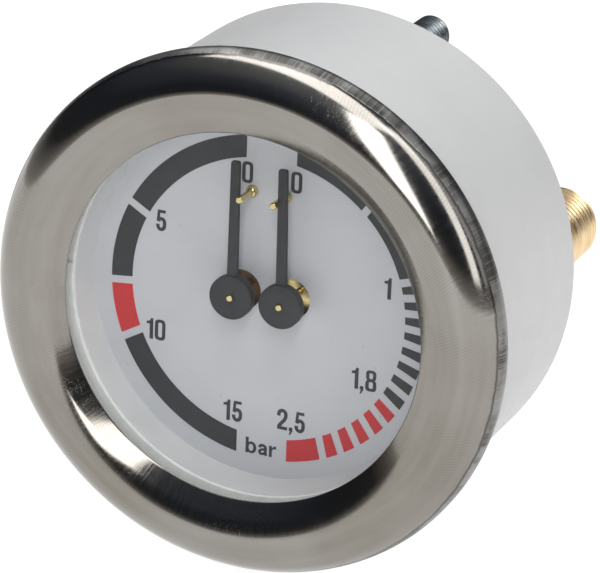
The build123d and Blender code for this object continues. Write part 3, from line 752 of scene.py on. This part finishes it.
def two():
    path = [(0.22, 1.72)] + arc((0.68, 1.95), 0.46, 0.49, 180, 0, 14)
    path += [(1.12, 1.62), (0.95, 1.25), (0.5, 0.72), (0.3, 0.42), (0.27, 0.2)]
    return [[stroke(path, STROKE)], [[(0.05, 0), (1.36, 0), (1.36, 0.4), (0.05, 0.4)]]]


def five():
    path = [(0.3, 1.22), (0.42, 1.43)] + arc((0.7, 1.12), 0.44, 0.42, 110, 0, 8)
    path += arc((0.7, 0.74), 0.44, 0.53, 0, -180, 14) + [(0.25, 0.85)]
    flag = [
        (0.24, FIGURE_H), (1.25, FIGURE_H), (1.25, 2.27), (0.56, 2.27), (0.5, 1.5), (0.42, 1.2),
        (0.1, 1.2),
    ]
    return [[stroke(path, STROKE)], [flag]]


def eight():
    outer = rounded([
        (0.0, 0.0), (1.4, 0.0), (1.4, 1.22), (1.14, 1.4), (1.35, 1.58), (1.35, FIGURE_H),
        (0.05, FIGURE_H), (0.05, 1.58), (0.26, 1.4), (0.0, 1.22),
    ], 0.5, 5)
    low = rounded([(0.44, 0.36), (0.96, 0.36), (0.96, 1.2), (0.44, 1.2)], 0.22, 5)
    top = rounded([(0.47, 1.58), (0.93, 1.58), (0.93, 2.3), (0.47, 2.3)], 0.2, 5)
    return [[outer, low, top]]


def comma():
    return [[[(0.0, 0.46), (0.46, 0.46), (0.46, 0.0), (0.18, -0.5), (0.0, -0.5), (0.16, 0.0),
              (0.0, 0.0)]]]


def letter_b():
    bowl = arc((0.75, 0.73), 0.66, 0.76, -125, 125, 20)
    outline = [(0.0, 0.0), (0.36, 0.0)] + bowl + [(0.38, 2.0), (0.0, 2.0)]
    hole = arc((0.71, 0.73), 0.31, 0.46, 0, 360, 20)[:-1]
    return [[outline, hole]]


def letter_a():
    shoulder = [(0.18, 0.98)] + arc((0.6, 0.98), 0.4, 0.32, 170, 0, 12) + [(1.0, 0.3), (1.1, 0.02)]
    bowl = [(1.0, 0.84), (0.6, 0.76), (0.3, 0.62), (0.2, 0.42), (0.32, 0.2), (0.55, 0.17),
            (0.82, 0.26), (1.0, 0.5)]
    return [[stroke(shoulder, 0.35)], [stroke(bowl, 0.31)]]


def letter_r():
    return [[[(0.0, 0.0), (0.37, 0.0), (0.37, 0.74), (0.44, 0.98), (0.62, 1.1), (0.9, 1.08),
              (0.9, 1.46), (0.62, 1.44), (0.36, 1.18), (0.35, 1.44), (0.0, 1.44)]]]


def set_line(figures, x, z, tracking=0.22):
    """Plates of a line of figures whose lower left corner is at (x, z)."""
    plates = []
    for figure in figures:
        right = 0.0
        for number, loops in enumerate(figure()):
            moved = [[(x + px, z + pz) for px, pz in loop] for loop in loops]
            plates.append((moved, PRINT_LEVEL, PRINT_THICK + 0.002 * number, 0.0))
            right = max(right, max(px for loop in loops for px, _ in loop))
        x += right + tracking
    return plates


def add_numerals():
    numerals = (
        ("left_numeral_0", (zero,), -3.55, 14.1),
        ("left_numeral_5", (five,), -14.5, 6.15),
        ("left_numeral_10", (one, zero), -15.4, -7.75),
        ("left_numeral_15", (one, five), -5.0, -16.2),
        ("right_numeral_0", (zero,), 2.7, 13.9),
        ("right_numeral_1", (one,), 14.9, 3.0),
        ("right_numeral_1_8", (one, comma, eight), 11.3, -8.9),
        ("right_numeral_2_5", (two, comma, five), 2.0, -16.0),
    )
    for name, figures, x, z in numerals:
        add_plates(name, set_line(figures, x, z), [BLACK_INK], HOUSING)
    unit = set_line((letter_b, letter_a, letter_r), -1.95, -19.85, 0.2)
    add_plates("unit_bar", unit, [BLACK_INK], HOUSING)


# === pointers =============================================================================
POINTER_LENGTH = 16.82
POINTER_LEAN = {"right": 1.0, "left": 0.0}
POINTER_LEVEL = 26.45
POINTER_THICK = 0.6
HUB_R = 2.7
HUB_BACK = 26.05
HUB_FRONT = 27.35
HUB_HOLE_R = 0.375


def add_pointer(name, side, lean):
    """Blade and hub; `lean` turns the blade about its axis, in degrees anticlockwise."""
    x = side * AXIS_X
    tip = AXIS_Z + POINTER_LENGTH
    blade = rounded([
        (x - 0.66, AXIS_Z), (x + 0.66, AXIS_Z), (x + 0.54, tip), (x - 0.54, tip),
    ], 0.3, 4)
    mesh = plate_mesh(name, [blade], POINTER_LEVEL, POINTER_THICK, 0.08)
    axis = Matrix.Translation(point(x, 0, AXIS_Z))
    mesh.transform(axis @ Matrix.Rotation(math.radians(-lean), 4, "Y") @ axis.inverted())
    blade_part = (
        [vertex.co.copy() for vertex in mesh.vertices],
        [tuple(face.vertices) for face in mesh.polygons],
    )
    bpy.data.meshes.remove(mesh)
    hub = rounded([
        (HUB_HOLE_R, HUB_BACK), (HUB_R - 0.1, HUB_BACK), (HUB_R, 26.2), (HUB_R, HUB_FRONT),
        (HUB_HOLE_R, HUB_FRONT),
    ], 0.16, 4)
    vertices, faces = merge(turned(hub, x, AXIS_Z, 96), blade_part)
    pointer = add_object(
        f"{name}_painted", vertices, faces, [POINTER_PAINT], f"{name}_arbor", 30
    )
    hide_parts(name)


# === threads ==============================================================================
STUD_Z = 19.2
STUD_CREST_R = 2.5
STUD_ROOT_R = 2.06
STUD_PITCH = 0.8
STUD_START = -0.02
STUD_THREAD_END = -26.5
SOCKET_X = 21.4
EAR_X = 19.2
SOCKET_CREST_R = 4.86
SOCKET_ROOT_R = 4.28
SOCKET_PITCH = 0.907
SOCKET_THREAD = (-5.46, -18.7)


def thread(major, minor, pitch, start, end, x, z, segments):
    """Helical V thread from level `start` to level `end`, cut away at 45 degrees at both ends."""
    shape = ((0.0, major), (0.1, major), (0.43, minor), (0.57, minor), (0.9, major))
    turns = int(math.ceil((start - end) / pitch)) + 1
    rows = [
        (start + pitch - (turn_number + share) * pitch, radius)
        for turn_number in range(turns + 1) for share, radius in shape
    ]
    vertices = []
    for level_at_zero, radius in rows:
        for step in range(segments + 1):
            angle = 2 * math.pi * step / segments
            level = min(start, max(end, level_at_zero - pitch * step / segments))
            r = min(radius, minor + min(start - level, level - end))
            vertices.append(point(x + r * math.cos(angle), level, z + r * math.sin(angle)))
    faces = []
    width = segments + 1
    for row in range(len(rows) - 1):
        for step in range(segments):
            first = row * width + step
            faces.append((first, first + 1, first + width + 1, first + width))
    return vertices, faces


def add_studs():
    for name, z in (("top", STUD_Z), ("bottom", -STUD_Z)):
        inner = turned(
            [(0, 5.0), (4.0, 5.0), (4.2, 4.8), (4.2, 2.5), (2.2, 2.5), (2.2, 0),
             (STUD_ROOT_R, STUD_START)],
            0, z, 48, closed=False,
        )
        ridge = thread(
            STUD_CREST_R, STUD_ROOT_R, STUD_PITCH, STUD_START, STUD_THREAD_END, 0, z, 48
        )
        end = turned(
            [(STUD_ROOT_R, STUD_THREAD_END), (1.75, -26.82), (0, -26.9)], 0, z, 48, closed=False
        )
        vertices, faces = merge(inner, ridge, end)
        stud = add_object(
            f"threaded_stud_{name}", vertices, faces, [ZINC], HOUSING, 50
        )
        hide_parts(f"fixing_stud_{name}")


def add_socket(name, side):
    """Threaded connection with its block, ears and counterbored end."""
    x = side * SOCKET_X
    thread_start, thread_end = SOCKET_THREAD
    finish = metal_finish(f"{name}_turned_brass", (0.72, 0.52, 0.29), (0.88, 0.68, 0.42), 0.27,
                          turned_at=(x, 0))
    neck = turned([
        (0, 4.3), (4.93, 4.3), (4.93, -1.05), (4.8, -1.2), (4.25, -1.8), (4.2, -2.0),
        (4.2, -5.3), (SOCKET_ROOT_R, thread_start),
    ], x, 0, 72, closed=False)
    ridge = thread(
        SOCKET_CREST_R, SOCKET_ROOT_R, SOCKET_PITCH, thread_start, thread_end, x, 0, 72
    )
    end = turned([
        (SOCKET_ROOT_R, thread_end), (4.12, -18.86), (4.0, -18.9), (2.25, -18.9),
        (2.0, -18.65), (2.0, -14.9), (1.25, -14.9), (1.25, -12.0), (0, -12.0),
    ], x, 0, 72, closed=False)
    vertices, faces = merge(neck, ridge, end)
    socket = add_object(f"{name}_threaded", vertices, faces, [finish], HOUSING, 45)
    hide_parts(name)
    block = rounded([(x - 4.5, -4.5), (x + 4.5, -4.5), (x + 4.5, 4.5), (x - 4.5, 4.5)], 1.0, 6)
    ear_x = side * EAR_X
    ears = arc((ear_x, 7.2), 2.1, 2.1, 0, 180, 16) + arc((ear_x, -7.2), 2.1, 2.1, 180, 360, 16)
    add_plates(
        f"{name}_block", [([block], 4.31, 8.69, 0.15), ([ears], 3.3, 1.4, 0.1)],
        [BRASS], HOUSING,
    )


# === finishes of the pieces that stay as the frame has them ===============================
NODE_FINISH = {
    "case": PLASTIC, "window": GLASS, "window_gasket": RUBBER, "spacer_ring": RING,
    "dial_plate": ENAMEL,
}
PAIR_FINISH = {
    "stop_pin": BRASS, "socket_seal": RUBBER, "socket_screws": ZINC, "restrictor_screw": BRASS,
    "bourdon_tube": BRONZE, "tip_piece": DULL_BRASS, "tip_link_pin": BRASS,
    "sector_link_pin": BRASS, "link": DULL_BRASS, "pinion_arbor": BRASS, "sector": BRASS,
    "sector_arbor": ZINC, "hairspring_collet": BRASS, "hairspring": BRONZE,
    "hairspring_stud": BRASS, "back_plate": DULL_BRASS, "front_plate": BRASS,
    "pillars": BRASS, "plate_screws": ZINC, "mounting_screws": ZINC,
}


def finish_nodes():
    """Gives every CAD node that is still shown its own material."""
    finishes = dict(NODE_FINISH)
    for side, _ in SIDES:
        finishes.update({f"{side}_{name}": finish for name, finish in PAIR_FINISH.items()})
    # The left front plate gets the darkened brass, which is painted shade.
    finishes["left_front_plate"] = SHADED_BRASS
    for name, finish in finishes.items():
        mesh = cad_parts[name].data
        mesh.materials.clear()
        mesh.materials.append(finish)
    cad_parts["window"].visible_shadow = False


add_bezel()
add_scales()
add_numerals()
add_studs()
for side_name, side_sign in SIDES:
    add_pointer(f"{side_name}_pointer", side_sign, POINTER_LEAN[side_name])
    add_socket(f"{side_name}_socket", side_sign)
finish_nodes()
